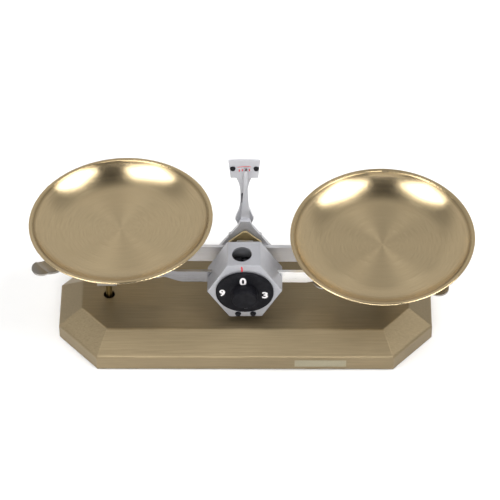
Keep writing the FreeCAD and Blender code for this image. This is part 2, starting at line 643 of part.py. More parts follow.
def make_pointer():
    """Cast A-frame behind the rear bar, the knife block, and the pointer blade on the A-frame."""
    back = dim("bar_offset") + dim("bar_wall") / 2
    rear = back + dim("frame_wall")
    frame = Piece("pointer_frame")
    frame.pad("xz", (back, rear), mirrored_outline([
        (Size(15.5), Size(64)), (Size(24), Size(64)), (Size(24), Size(75)), (Size(14.2), Size(91)),
        (Size(6.2), Size(104)), (Size(4.2), Size(110))]))
    frame.pocket("xz", (back - 1, rear + 1), mirrored_outline([
        (Size(15.5), Size(63)), (Size(15.5), Size(74)), (Size(5.6), Size(90)), (Size(1.5), Size(93))]))
    frame.pad("xz", (back, rear), circles=[(side * 12.4, Size(91.5), Size(2.2)) for side in (-1, 1)])
    frame.pocket("xz", (back - 1, rear + 1), circles=[(side * 18.0, Size(71), Size(1.5)) for side in (-1, 1)])
    screws = [screw((side * 18.0, rear, Size(71)), "+y", 2.9, 1.9, 1.5, 6) for side in (-1, 1)]
    sub_part("frame_screws", group(screws))
    front_rivets = [cylinder(1.4, dim("pointer_wall") + 0.8, (0, rear, z), "+y") for z in (98.5, 106)]
    blade = Piece("pointer")
    right = [(3.4, 95.5), (4.4, 104), (3.9, 112), (3.0, 124), (2.35, 146), (2.1, 168)]
    left = [(-1.1, 168), (-1.75, 146), (-2.9, 124), (-3.9, 112), (-4.4, 104), (-3.4, 95.5)]
    tip = (Size(0.9), dim("pointer_tip"))
    outline = [(Size(x), Size(z)) for x, z in right] + [tip] + [(Size(x), Size(z)) for x, z in left]
    blade.pad("xz", (rear, rear + dim("pointer_wall")), outline)
    blade.pocket("xz", (rear - 1, rear + 3), circles=[(as_size(0), Size(z), Size(1.4)) for z in (98.5, 106)])
    sub_part("pointer_rivets", group(front_rivets))
    block = Piece("knife_block")
    top = knife_level + dim("knife_back")
    block.pad("yz", (Size(-7.2), Size(7.2)), [
        (dim("housing_back"), top), (Size(7.4), top), (Size(7.4), top + 8), (Size(4.6), top + 12.5),
        (dim("housing_back"), top + 12.5)])
    block.dress("Fillet", Size(2.4), lambda e: is_along(e, V(0, 1, 0)) and middle_of(e).z > top.value + 10)


# ---------------------------------------------------------------- housing and dial

housing_level = dim("housing_height")
housing_slant = dim("housing_half") - dim("housing_flat_half")


def housing_outline(inset=0.0, depth=0.0):
    """Hexagon with corners at its sides; inset moves the corners in, depth the flats."""
    half = dim("housing_half") - inset
    rise = dim("housing_rise") - depth
    flat = half - housing_slant * (rise / dim("housing_rise"))
    return [(half, housing_level), (flat, housing_level + rise), (-flat, housing_level + rise),
            (-half, housing_level), (-flat, housing_level - rise), (flat, housing_level - rise)]


def make_housing():
    """Six-sided case on the beam around the dial drive, and the plate that closes it behind."""
    wall = dim("housing_wall")
    front, back = dim("housing_front"), dim("housing_back") - 2
    shell = Piece("housing_shell")
    shell.pad("xz", (front, back), housing_outline())
    shell.dress("Fillet", Size(0.9), lambda e: is_along(e, V(0, 1, 0)))
    shell.dress("Fillet", Size(0.6), lambda e: near(e.Vertexes[0].Y, front) and near(e.Vertexes[1].Y, front))
    shell.pocket("xz", (front + wall, back + 1), housing_outline(wall * 1.143, wall))
    shell.pocket("xz", (front - 1, front + wall + 1), circles=[
        (as_size(0), housing_level, dim("bush_radius"))])
    screw_level = housing_level - 29.5
    shell.pocket("xz", (front - 1, front + wall + 1), circles=[
        (side * 6.6, screw_level, Size(1.2)) for side in (-1, 1)])
    shell.pocket("xy", (housing_level + 20, housing_level + 40), circles=[
        (dim("window_across"), dim("window_along"), dim("window_radius"))])
    shell.pocket("yz", (-dim("housing_half"), dim("housing_half")), rectangle(
        -dim("bar_offset") - 1.8, -dim("bar_offset") + 1.8, dim("front_bar_low") - 1.2,
        dim("front_bar_high") + 1.2))
    shell.pocket("yz", (-dim("housing_half"), dim("housing_half")), circles=[
        (dim("poise_along"), dim("poise_height"), dim("shaft_radius"))])
    closing = Piece("housing_back_plate")
    closing.pad("xz", (back, dim("housing_back")), housing_outline())
    closing.dress("Fillet", Size(0.9), lambda e: is_along(e, V(0, 1, 0)))
    closing.pocket("xz", (back - 1, dim("housing_back") + 1), rectangle(
        Size(-4.8), Size(4.8), knife_level - 1, knife_level + dim("knife_back") + 0.8))
    lug_low = housing_level - dim("housing_rise") + wall
    closing.pad("xz", (front + wall, back), rectangle(Size(-10), Size(10), lug_low, lug_low + 5))
    closing.pocket("xz", (front, back - 8), circles=[(side * 6.6, screw_level, Size(1.2)) for side in (-1, 1)])
    screws = [screw((side * 6.6, front, screw_level), "-y", 2.75, 1.4, 1.2, 15) for side in (-1, 1)]
    sub_part("housing_screws", group(screws))
    # the rod's ends are filed flush with the sloping sides of the case
    sides = Piece("guide_rod_sides")
    sides.pad("xz", (front, back), housing_outline())
    pieces.pop(sides.body.Label)
    reach = dim("housing_half")
    rod = cylinder(dim("shaft_radius"), reach * 2, (-reach, dim("poise_along"), dim("poise_height")), "+x")
    sub_part("guide_rod", shared(sides.body, rod))
    bush_end = front + 5.5
    bush = joined([cylinder(dim("bush_radius"), 5.5, (0, front, housing_level), "+y"),
                   cylinder(dim("bush_flange"), 1.5, (0, front + wall, housing_level), "+y")])
    bore = cylinder(dim("shaft_radius") + dim("running_fit"), 5.5, (0, front, housing_level), "+y")
    sub_part("dial_bush", cut(bush, [bore]))
    return bush_end


def make_dial(bush_end):
    """Dial disc, knob, shaft, pinion and clip, all on one line along Y."""
    face = dim("housing_front") - dim("dial_gap")
    disc_front = face - dim("dial_wall")
    disc = Piece("dial")
    bevel = 0.7
    disc.turn("yz", [
        (face, dim("shaft_radius")), (face, dim("dial_radius")), (disc_front + bevel, dim("dial_radius")),
        (disc_front, dim("dial_radius") - bevel), (disc_front, dim("shaft_radius"))], "H_Axis")
    knob = Piece("knob")
    tip = disc_front - dim("knob_length")
    knob.turn("yz", [
        (disc_front, dim("shaft_radius")), (disc_front, dim("knob_radius")),
        (tip + 1.0, dim("knob_radius") - 0.3), (tip, dim("knob_radius") - 1.3, Size(1.1), -1),
        (tip, as_size(0)), (disc_front - 7, as_size(0)), (disc_front - 7, dim("shaft_radius"))], "H_Axis")
    shaft_end = bush_end + 0.5 + dim("pinion_wall") + 1.4
    shaft = Piece("dial_shaft")
    shaft.turn("yz", [
        (disc_front - 7, as_size(0)), (disc_front - 7, dim("shaft_radius")),
        (shaft_end, dim("shaft_radius")), (shaft_end, as_size(0))], "H_Axis")
    pinion_low = bush_end + 0.5
    pinion_high = pinion_low + dim("pinion_wall")
    unit = dim("tooth_module")
    pitch_radius = unit * dim("pinion_teeth") / 2
    pinion = Piece("pinion")
    pinion.pad("xz", (pinion_low, pinion_high), circles=[(as_size(0), as_size(0), pitch_radius - unit * 1.2)])
    pinion.pad("xz", (pinion_low, pinion_high), [
        (Size(-0.42), -pitch_radius + 0.9), (Size(-0.34), -pitch_radius), (Size(-0.14), -pitch_radius - unit * 0.9),
        (Size(0.14), -pitch_radius - unit * 0.9), (Size(0.34), -pitch_radius), (Size(0.42), -pitch_radius + 0.9)])
    doc.recompute()
    ring = pinion.body.newObject("PartDesign::PolarPattern", "pinion_ring")
    ring.Originals = [pinion.body.Tip]
    y_axis = next(f for f in pinion.body.Origin.OriginFeatures if f.Role == "Y_Axis")
    ring.Axis = (y_axis, [""])
    ring.Angle = 360
    ring.Occurrences = int(dim("pinion_teeth").value)
    pinion.body.Tip = ring
    pinion.pocket("xz", (pinion_low - 1, pinion_high + 1), circles=[(as_size(0), as_size(0), dim("shaft_radius"))])
    clip_spot = (0, pinion_high, 0)
    clip = cut(cylinder(3.3, 0.8, clip_spot, "+y"), [cylinder(dim("shaft_radius"), 0.8, clip_spot, "+y")])
    sub_part("shaft_clip", clip)
    return pinion_low, pinion_high


def make_poise(pinion_low, pinion_high):
    """Black sliding weight on its guide rod, and the rack plate that hangs from it under the pinion."""
    unit = dim("tooth_module")
    start, along, level = dim("poise_start"), dim("poise_along"), dim("poise_height")
    half, radius, taper = dim("poise_half"), dim("poise_radius"), 4.2
    barrel = cylinder(radius, half * 2 - taper * 2, (start - half + taper, along, level), "+x")
    ends = [cone(radius, radius * 0.45, taper, (start + side * (half - taper), along, level),
                 "+x" if side > 0 else "-x") for side in (-1, 1)]
    bore = cylinder(dim("shaft_radius") + dim("running_fit"), half * 2, (start - half, along, level), "+x")
    plate_half = dim("rack_plate") / 2
    slot = box((start - 6, along - 0.5 - plate_half, level - radius - 1),
               (start + 6, along - 0.5 + plate_half, level - radius + 2.4))
    sub_part("poise", cut(joined([barrel] + ends), [bore, slot]))
    rack = Piece("poise_rack")
    low, run = dim("rack_low"), dim("rack_half")
    plate_front, plate_back = along - 0.5 - plate_half, along - 0.5 + plate_half
    rack.pad("xz", (plate_front, plate_back), [
        (start - run, low), (start + run, low), (start + run, low + 5), (start + 6, low + 14),
        (start + 6, level - radius + 2.4), (start - 6, level - radius + 2.4), (start - 6, low + 14),
        (start - run, low + 5)])
    pitch_line = housing_level - unit * dim("pinion_teeth") / 2
    root_line = pitch_line - unit * 1.25
    rack.pad("xz", (pinion_low, plate_front), rectangle(start - run, start + run, low, root_line))
    pitch = unit * 3.14159265
    # the pinion has a tooth pointing straight down at rest, so a gap of the rack stands under it
    for number in range(-13, 2):
        centre = pitch * (number + 0.5)
        rack.pad("xz", (pinion_low, pinion_high - 0.2), [
            (centre - 0.5, root_line - 0.2), (centre + 0.5, root_line - 0.2), (centre + 0.34, pitch_line),
            (centre + 0.15, pitch_line + unit * 0.85), (centre - 0.15, pitch_line + unit * 0.85),
            (centre - 0.34, pitch_line)])


# ---------------------------------------------------------------- pan supports and pans

def make_yoke(side):
    """Closed frame round the end of the beam, hanging on the end knife, with its rod to the stay."""
    label = "left" if side < 0 else "right"
    centre, breadth = side * dim("arm"), dim("yoke_breadth") / 2
    half, wall = dim("yoke_half"), dim("yoke_wall")
    low, high = dim("yoke_low"), dim("yoke_high")
    yoke = Piece(f"yoke_{label}")
    yoke.pad("yz", (centre - breadth, centre + breadth), rectangle(-half, half, low, high))
    yoke.dress("Fillet", Size(1.6), lambda e: is_along(e, V(1, 0, 0)))
    yoke.pocket("yz", (centre - breadth - 1, centre + breadth + 1),
                rectangle(wall - half, half - wall, low + dim("yoke_floor"), high - wall))
    yoke.pocket("xz", (-half - 1, half + 1), rectangle(
        centre - 5, centre + 5, knife_level - 9, knife_level + 5))
    yoke.pocket("xy", (low - 1, low + dim("yoke_floor") + 1), circles=[(centre, as_size(0), Size(2.2))])
    cross_along = dim(f"{label}_cross_along")
    yoke.pocket("xy", (high - 4, high + 1), circles=[(centre, cross_along, Size(2.0))])
    seat = knife_level + dim("knife_gap")
    bearings = []
    for face in (-1, 1):
        near_face, far_face = sorted((face * (half.value - wall.value), face * half.value))
        block = box((centre - 5, Size(near_face), seat - 2), (centre + 5, Size(far_face), knife_level + 5))
        notch = doc.addObject("Part::Wedge", "notch")
        notch.Xmin, notch.Xmax = -5.2, 5.2
        notch.X2min, notch.X2max = 0, 0
        notch.Zmin, notch.Zmax = 0, far_face - near_face
        notch.Z2min, notch.Z2max = 0, far_face - near_face
        notch.Ymin, notch.Ymax = 0, 3
        notch.Placement = Placement(V(centre.value, far_face, seat.value - 3), Rotation(V(1, 0, 0), 90))
        bearings.append(cut(block, [notch]))
    sub_part(f"yoke_bearings_{label}", group(bearings))
    level, tongue = dim("stay_height"), dim("tongue_half")
    round_low = level + 9
    rod = cylinder(dim("rod_radius"), low - round_low, (centre, 0, round_low))
    spigot = cylinder(2.2, dim("yoke_floor"), (centre, 0, low))
    flat = box((centre - dim("rod_radius"), -tongue, level), (centre + dim("rod_radius"), tongue, round_low))
    eye = cylinder(dim("rod_radius"), tongue * 2, (centre, -tongue, level), "+y")
    hole = cylinder(dim("pin_radius") + dim("pin_fit"), tongue * 2, (centre, -tongue, level), "+y")
    sub_part(f"rod_{label}", cut(joined([rod, spigot, flat, eye]), [hole]))
    make_cross(side, label, centre, cross_along)


def lean(side):
    """The left cross sits a little askew on a tapered washer, and its pan with it."""
    if side > 0:
        return Rotation()
    return Rotation(V(0, 1, 0), -dim("left_roll").value) * Rotation(V(1, 0, 0), -dim("left_pitch").value)


def make_cross(side, label, centre, along):
    """Stamped cross: a dished band cut to an X with round arm ends, on a raised hub washer."""
    bottom, wall = dim("cross_bottom"), dim("cross_wall")
    flat, lift, curve = dim("cross_flat"), dim("cross_lift"), dim("pan_curve")
    end = dim("arm_reach") + dim("arm_half") + 3
    knee = flat + 20.4
    dish = Piece(f"cross_dish_{label}")
    dish.turn("xz", [
        (Size(0), Size(0)), (flat + 1, Size(0)), (knee + 1, lift, curve, 1), (end, lift),
        (end, lift + wall), (knee, lift + wall), (flat, wall, curve, -1), (Size(0), wall)])
    pieces.pop(dish.body.Label)
    reach, half = dim("arm_reach"), dim("arm_half")
    solids = [cylinder(half * 1.75, 20, (0, 0, -5))]
    for x_side, y_side in ((1, 0), (0, 1)):
        low = (-reach * x_side - half * y_side, -reach * y_side - half * x_side, -5)
        high = (reach * x_side + half * y_side, reach * y_side + half * x_side, 15)
        solids.append(box(low, high))
        for end_side in (-1, 1):
            solids.append(cylinder(half, 20, (reach * x_side * end_side, reach * y_side * end_side, -5)))
    whole = shared(dish.body, joined(solids))
    cross = cut(whole, [cylinder(2.3, 6, (0, 0, -2))])
    sub_part(f"cross_{label}", cross)
    turn = Rotation(V(0, 0, 1), 45 + dim(f"{label}_cross_turn").value)
    cross.Placement = Placement(V(centre.value, along.value, bottom.value), lean(side) * turn)
    high = dim("yoke_high")
    over = cylinder(20, 5, (centre, along, bottom))
    over.Placement = Placement(over.Placement.Base, lean(side))
    blank = cylinder(8.0, bottom - high + 1, (centre, along, high))
    washer = cut(blank, [cylinder(2.0, bottom - high + 1, (centre, along, high)), over])
    sub_part(f"hub_washer_{label}", washer)
    # low cheese head, so that it clears the underside of the pan
    head = cylinder(3.4, 0.5, (centre, along, bottom + wall + 0.01))
    head.Placement = Placement(head.Placement.Base, lean(side))
    bolt = joined([head, cylinder(2.0, bottom + wall - high + 5.3, (centre, along, high - 5))])
    nut_spot = (centre, along, high - dim("yoke_wall") - 3)
    sub_part(f"hub_bolt_{label}", bolt)
    sub_part(f"hub_nut_{label}", cut(hexagon(7.0, 3.0, nut_spot), [cylinder(2.0, 3.0, nut_spot)]))


def make_pan(side):
    """Spun dish with a nearly flat floor, a curved wall and a narrow flat lip with a beaded edge."""
    label = "left" if side < 0 else "right"
    wall, radius, lip = dim("pan_wall"), dim("pan_radius"), dim("pan_lip")
    floor, depth, dish, curve = dim("pan_floor"), dim("pan_depth"), dim("pan_dish"), dim("pan_curve")
    brim, bead = radius - lip, dim("bead_radius")
    pan = Piece(f"pan_{label}")
    pan.turn("xz", [
        (Size(0), -depth - wall), (floor, dish - depth - wall),
        (brim + 0.4, -wall - 0.7, curve + wall, 1), (radius - bead * 2, -wall - 0.2),
        (radius, bead - wall - 0.4, bead * 1.2, 1), (radius - bead * 1.2, Size(0), bead * 1.2, 1),
        (brim + 0.9, Size(-0.1)), (brim, Size(-0.9), Size(1.6), -1), (floor, dish - depth, curve, -1),
        (Size(0), -depth)])
    place = V(side * dim("arm").value + dim(f"{label}_pan_shift").value,
              dim(f"{label}_pan_along").value, dim(f"{label}_pan_height").value)
    pan.body.Placement = Placement(place, lean(side))


# ---------------------------------------------------------------- assembly

make_base_shell()
make_bottom()
make_pillar()
make_stay()
make_post()
make_beam_frame()
make_pointer()
bush_end = make_housing()
pinion_low, pinion_high = make_dial(bush_end)
make_poise(pinion_low, pinion_high)
for side in (-1, 1):
    make_yoke(side)
    make_pan(side)

tilt = Rotation(V(0, 1, 0), dim("rest_tilt").value)
beam_turn = Placement(V(), tilt, V(0, 0, knife_level.value))
stay_turn = Placement(V(), tilt, V(0, 0, dim("stay_height").value))
skew = Rotation(V(0, 1, 0), dim("housing_skew").value)
housing_turn = beam_turn * Placement(V(), skew, V(0, 0, housing_level.value))
dial_turn = housing_turn * Placement(V(0, 0, housing_level.value), Rotation())


def swing(side):
    """Small move of a yoke from its level place to its place on the tilted beam."""
    level_spot = V(side * dim("arm").value, 0, knife_level.value)
    return Placement(beam_turn.multVec(level_spot) - level_spot, Rotation())


BEAM = ("front_bar", "rear_bar", "centre_knife", "end_knife_left", "end_knife_right", "bar_spacers",
        "spacer_screws", "nut_stud_left", "nut_stud_right", "zero_nut_left", "zero_nut_right",
        "pointer_frame", "frame_screws", "pointer", "pointer_rivets", "knife_block")
HOUSING = ("housing_shell", "housing_back_plate", "housing_screws", "guide_rod", "dial_bush",
           "poise", "poise_rack")
DIAL = ("dial", "knob", "dial_shaft", "pinion", "shaft_clip")
STAY = ("stay_bar", "stay_pins")
YOKE = ("yoke", "yoke_bearings", "rod", "cross", "hub_washer", "hub_bolt", "hub_nut", "pan")

moves = {name: beam_turn for name in BEAM}
moves.update({name: housing_turn for name in HOUSING})
moves.update({name: dial_turn for name in DIAL})
moves.update({name: stay_turn for name in STAY})
for side, label in ((-1, "left"), (1, "right")):
    moves.update({f"{name}_{label}": swing(side) for name in YOKE})
to_origin = Placement(V(dim("middle_x").value, dim("middle_y").value, 0), Rotation())
for name, piece in pieces.items():
    move = to_origin * moves.get(name, Placement())
    rest = Placement(piece.Placement)
    if piece.TypeId == "Part::Cylinder":
        piece.setExpression("Placement.Base.x", None)
        piece.setExpression("Placement.Base.y", None)
        piece.setExpression("Placement.Base.z", None)
    piece.Placement = move * rest

doc.recompute()

for thing in doc.Objects:
    if "Invalid" in thing.State or "Error" in thing.State:
        raise RuntimeError(f"{thing.Label} ({thing.Name}) did not compute: {thing.State}")
for name, piece in pieces.items():
    shape = piece.Shape
    if shape.isNull() or not shape.isValid() or shape.Volume <= 0 or not shape.Solids:
        raise RuntimeError(f"{name} has no valid solid")

os.makedirs("parts", exist_ok=True)
for name, piece in pieces.items():
    piece.Shape.exportStep(f"parts/{name}.step")
print(len(pieces), "sub-parts")
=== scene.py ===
import json
from math import cos, pi, radians, sin

import bpy
from mathutils import Matrix, Vector


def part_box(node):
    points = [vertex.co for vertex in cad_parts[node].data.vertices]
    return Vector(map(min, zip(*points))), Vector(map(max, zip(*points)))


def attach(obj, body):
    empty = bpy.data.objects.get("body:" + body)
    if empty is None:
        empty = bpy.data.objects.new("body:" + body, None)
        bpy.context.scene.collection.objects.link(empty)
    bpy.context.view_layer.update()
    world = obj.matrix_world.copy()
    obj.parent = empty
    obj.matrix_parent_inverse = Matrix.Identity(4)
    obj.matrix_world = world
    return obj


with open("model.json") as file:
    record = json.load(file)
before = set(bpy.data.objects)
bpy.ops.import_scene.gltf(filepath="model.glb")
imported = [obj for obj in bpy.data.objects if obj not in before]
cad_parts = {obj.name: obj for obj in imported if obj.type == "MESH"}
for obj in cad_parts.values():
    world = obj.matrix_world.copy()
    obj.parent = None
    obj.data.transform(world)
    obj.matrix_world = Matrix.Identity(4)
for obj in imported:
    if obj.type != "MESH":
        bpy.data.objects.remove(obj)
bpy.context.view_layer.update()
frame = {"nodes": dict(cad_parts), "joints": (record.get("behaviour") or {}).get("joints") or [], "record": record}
nodes = frame["nodes"]
joints = {joint["name"]: joint for joint in frame["joints"]}
MIDDLE = Vector(joints["beam_tilt"]["pos_m"]) * Vector((1, 1, 0))    # middle of the base, on the table
MM = 0.001


# ---------------------------------------------------------------- node materials

class Finish:
    """One node material: a principled shader and short calls that add pattern nodes to it."""

    def __init__(self, name, **sockets):
        self.material = bpy.data.materials.new(name)
        self.material.use_nodes = True
        self.tree = self.material.node_tree
        self.shader = self.tree.nodes["Principled BSDF"]
        for socket, value in sockets.items():
            self.set(socket.replace("_", " "), value)
        self.place = self.add("ShaderNodeTexCoord").outputs["Object"]

    def wire(self, node, socket, value):
        if isinstance(value, bpy.types.NodeSocket):
            self.tree.links.new(value, node.inputs[socket])
        else:
            node.inputs[socket].default_value = value

    def set(self, socket, value):
        self.wire(self.shader, socket, value)

    def add(self, kind, wires=None, **settings):
        node = self.tree.nodes.new(kind)
        for setting, value in settings.items():
            setattr(node, setting, value)
        for socket, value in (wires or {}).items():
            self.wire(node, socket, value)
        return node

    def math(self, operation, first, second=0.0):
        return self.add("ShaderNodeMath", {0: first, 1: second}, operation=operation).outputs[0]

    def vector(self, operation, wires, output=0):
        return self.add("ShaderNodeVectorMath", wires, operation=operation).outputs[output]

    def noise(self, cells, detail=3.0, place=None):
        """Noise with this many cells per metre: one number, or one for each axis."""
        stretch = cells if isinstance(cells, tuple) else (cells, cells, cells)
        scaled = self.add("ShaderNodeMapping", {"Vector": place or self.place, "Scale": stretch})
        wires = {"Vector": scaled.outputs[0], "Scale": 1.0, "Detail": detail, "Roughness": 0.6}
        return self.add("ShaderNodeTexNoise", wires).outputs[0]

    def spread(self, value, low, high, start=0.3, end=0.7):
        """The value's range from start to end, spread from low to high."""
        wires = {"Value": value, "From Min": start, "From Max": end, "To Min": low, "To Max": high}
        return self.add("ShaderNodeMapRange", wires).outputs[0]

    def mix(self, factor, low, high):
        node = self.add("ShaderNodeMix", data_type="RGBA")
        self.wire(node, 0, factor)
        for socket, colour in ((6, low), (7, high)):
            self.wire(node, socket, colour if isinstance(colour, bpy.types.NodeSocket) else (*colour, 1))
        return node.outputs[2]

    def inside(self, low, high):
        """1 inside a box given by two corners, 0 outside it."""
        split = self.add("ShaderNodeSeparateXYZ", {0: self.place}).outputs
        result = 1.0
        for axis in range(3):
            above = self.math("GREATER_THAN", split[axis], low[axis])
            below = self.math("LESS_THAN", split[axis], high[axis])
            result = self.math("MULTIPLY", self.math("MULTIPLY", above, below), result)
        return result

    def edge(self, radius):
        """1 on outer and inner edges, 0 on the faces, and the normal with those edges rounded."""
        rounded = self.add("ShaderNodeBevel", {"Radius": radius}, samples=4).outputs[0]
        true = self.add("ShaderNodeNewGeometry").outputs["Normal"]
        same = self.vector("DOT_PRODUCT", {0: rounded, 1: true}, "Value")
        return self.spread(self.math("SUBTRACT", 1.0, same), 0, 1, 0.02, 0.2), rounded

    def bump(self, height, distance, normal=None):
        wires = {"Height": height, "Strength": 1.0, "Distance": distance}
        if normal:
            wires["Normal"] = normal
        self.set("Normal", self.add("ShaderNodeBump", wires).outputs[0])


# painted shade: the dish is darkened in a thin ring at its crease with the rim
SEAM_RADIUS = 75.6 * MM          # dark line where the dish of a pan meets its rolled rim
SEAM_CORE, SEAM_FADE = 0.2 * MM, 2.0 * MM
RING_DRIFT = 1.2 * MM            # how far the ring pattern changes once round the pan


def pan_finish(label, lean):
    """Spun brass, brushed in fine rings round the pan's own axis, with a dark ring of painted shade where the dish
    meets the rim.
    """
    low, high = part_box(f"pan_{label}")
    centre = (low + high) / 2
    f = Finish(f"pan_brass_{label}", Metallic=1.0, Anisotropic=0.86, Anisotropic_Rotation=0.25)
    wires = {"Vector": f.place, "Location": centre, "Rotation": tuple(map(radians, lean))}
    own = f.add("ShaderNodeMapping", wires, vector_type="TEXTURE").outputs[0]
    flat = f.vector("MULTIPLY", {0: own, 1: (1, 1, 0)})
    radius = f.vector("LENGTH", {0: flat}, "Value")
    away = f.vector("NORMALIZE", {0: flat})
    turned = f.vector("SCALE", {0: away, "Scale": RING_DRIFT})
    along = f.add("ShaderNodeCombineXYZ", {0: radius}).outputs[0]
    rings = f.vector("ADD", {0: along, 1: turned})
    fine = f.noise(2600, 3.0, rings)
    coarse = f.noise(420, 2.0, rings)
    cloud = f.noise(18)
    tone = f.mix(f.spread(fine, 0, 1), (0.56, 0.435, 0.25), (0.70, 0.56, 0.345))
    tone = f.mix(f.spread(cloud, 0, 0.30), tone, (0.66, 0.50, 0.29))
    # painted shade: a dark ring in the crease where the dish meets the rolled rim
    off_seam = f.math("ABSOLUTE", f.math("SUBTRACT", radius, SEAM_RADIUS))
    crease_shade = f.math("SUBTRACT", 1.0, f.spread(off_seam, 0, 1, SEAM_CORE, SEAM_FADE))
    tone = f.mix(f.math("MULTIPLY", crease_shade, 0.62), tone, (0.20, 0.135, 0.06))
    edge, rounded = f.edge(0.3 * MM)
    f.set("Base Color", f.mix(f.math("MULTIPLY", edge, 0.5), tone, (0.86, 0.68, 0.38)))
    f.set("Roughness", f.math("ADD", f.spread(coarse, 0.21, 0.25), f.spread(fine, -0.02, 0.02)))
    f.set("Tangent", f.add("ShaderNodeTangent", direction_type="RADIAL", axis="Z").outputs[0])
    f.bump(f.math("ADD", fine, f.math("MULTIPLY", coarse, 0.5)), 0.004 * MM, rounded)
    return f.material


def base_finish(name, dark, light):
    """Satin gold-bronze paint on pressed steel, with a fine lengthwise grain and rubbed folds."""
    f = Finish(name, Metallic=0.75)
    grain = f.noise((26, 900, 900), 4.0)
    fleck = f.noise(2400, 2.0)
    cloud = f.noise((9, 16, 16))
    tone = f.mix(f.spread(grain, 0, 1), dark, light)
    tone = f.mix(f.spread(cloud, 0, 0.35), tone, [0.8 * value for value in dark])
    edge, rounded = f.edge(1.2 * MM)
    f.set("Base Color", f.mix(f.math("MULTIPLY", edge, 0.35), tone, [1.3 * value for value in light]))
    f.set("Roughness", f.math("ADD", f.spread(grain, 0.36, 0.44), f.spread(fleck, -0.02, 0.04)))
    f.bump(f.math("ADD", f.math("MULTIPLY", fleck, 0.6), grain), 0.012 * MM, rounded)
    return f.material


def paint_finish(name, dark, light, metallic, roughness, cells=900, depth=0.03, black=None):
    """Sprayed paint: orange peel, slow changes of tone, rubbed edges; black is a box painted near black: real
    black paint on the pointer's tip, painted shade in the recess of the post's neck.
    """
    f = Finish(name, Metallic=metallic)
    peel = f.noise(cells)
    cloud = f.noise(45)
    tone = f.mix(f.spread(cloud, 0, 1), dark, light)
    edge, rounded = f.edge(0.5 * MM)
    worn = [min(1.0, 1.35 * value + 0.02) for value in light]
    tone = f.mix(f.math("MULTIPLY", edge, 0.35), tone, worn)
    # the black box is real black paint on some parts and painted shade in a recess on others
    if black:
        tone = f.mix(f.inside(*black), tone, (0.012, 0.012, 0.014))
    f.set("Base Color", tone)
    f.set("Roughness", f.spread(peel, roughness - 0.05, roughness + 0.06))
    f.bump(peel, depth * MM, rounded)
    return f.material


def brushed_finish(name, dark, light, roughness, cells, depth=0.01, metallic=1.0, right_half_highlight=None):
    """Bare metal drawn or ground along one direction; the optional tone for its right half is a painted highlight.
    """
    f = Finish(name, Metallic=metallic)
    lines = f.noise(cells, 4.0)
    cloud = f.noise(40, 2.0)
    tone = f.mix(f.spread(lines, 0, 1), dark, light)
    tone = f.mix(f.spread(cloud, 0, 0.25), tone, [0.8 * value for value in dark])
    # painted highlight: the right half fades to a near-white tone that stands in for a reflection
    if right_half_highlight:
        across = f.add("ShaderNodeSeparateXYZ", {0: f.place}).outputs[0]
        half = f.spread(across, 0, 1, MIDDLE.x - HIGHLIGHT_FADE, MIDDLE.x + HIGHLIGHT_FADE)
        tone = f.mix(half, tone, right_half_highlight)
    edge, rounded = f.edge(0.4 * MM)
    worn = [min(1, 1.3 * value) for value in light]
    f.set("Base Color", f.mix(f.math("MULTIPLY", edge, 0.4), tone, worn))
    f.set("Roughness", f.spread(lines, roughness - 0.06, roughness + 0.07))
    f.bump(lines, depth * MM, rounded)
    return f.material


def plastic_finish(name, dark, light, roughness, cells=1400, depth=0.02):
    """Dark moulding or enamel: fine texture, a little dust, paler edges."""
    f = Finish(name, Specular_IOR_Level=0.08)
    texture = f.noise(cells, 4.0)
    dust = f.noise(160, 5.0)
    tone = f.mix(f.spread(dust, 0, 1, 0.45, 0.8), dark, light)
    edge, rounded = f.edge(0.4 * MM)
    f.set("Base Color", f.mix(f.math("MULTIPLY", edge, 0.5), tone, [2.2 * value for value in light]))
    f.set("Roughness", f.spread(texture, roughness - 0.06, roughness + 0.1))
    f.bump(texture, depth * MM, rounded)
    return f.material


def mark_finish(name, low, high):
    """Printed or filled paint for the numerals, the scale and the label."""
    f = Finish(name, Specular_IOR_Level=0.3)
    grain = f.noise(1800)
    f.set("Base Color", f.mix(f.spread(grain, 0, 1), low, high))
    f.set("Roughness", f.spread(grain, 0.45, 0.6))
    f.bump(grain, 0.008 * MM)
    return f.material


def box_from_middle(low, high):
    """Two corners in mm from the middle of the base, in the frame's metres."""
    return [MIDDLE + Vector(corner) * MM for corner in (low, high)]


LEFT_LEAN = (-4.2, -2.1, 0)      # degrees that the left pan leans about x and y
LEVEL = (0, 0, 0)
# width over which the painted highlight on the front bar's right half fades in
HIGHLIGHT_FADE = 8 * MM
# painted shade: the recess in the post's neck is painted near black where shade falls in it
NECK_RECESS_SHADE = box_from_middle((-3.1, 23.7, 122.4), (2.1, 25.3, 138.6))
POINTER_TIP = box_from_middle((-4, 14, 170.4), (4, 24, 174))
# painted light: the post and the pointer take a lighter copy of the silver paint, standing in for light on their
# upright faces
POST_LIT_TONES = (0.49, 0.493, 0.52), (0.57, 0.573, 0.60)

# noise cells per metre of drawn, ground and turned metal
ACROSS = (30, 1500, 1500)
UPRIGHT = (1300, 1300, 60)
ROUND = 900
FINE = 2600

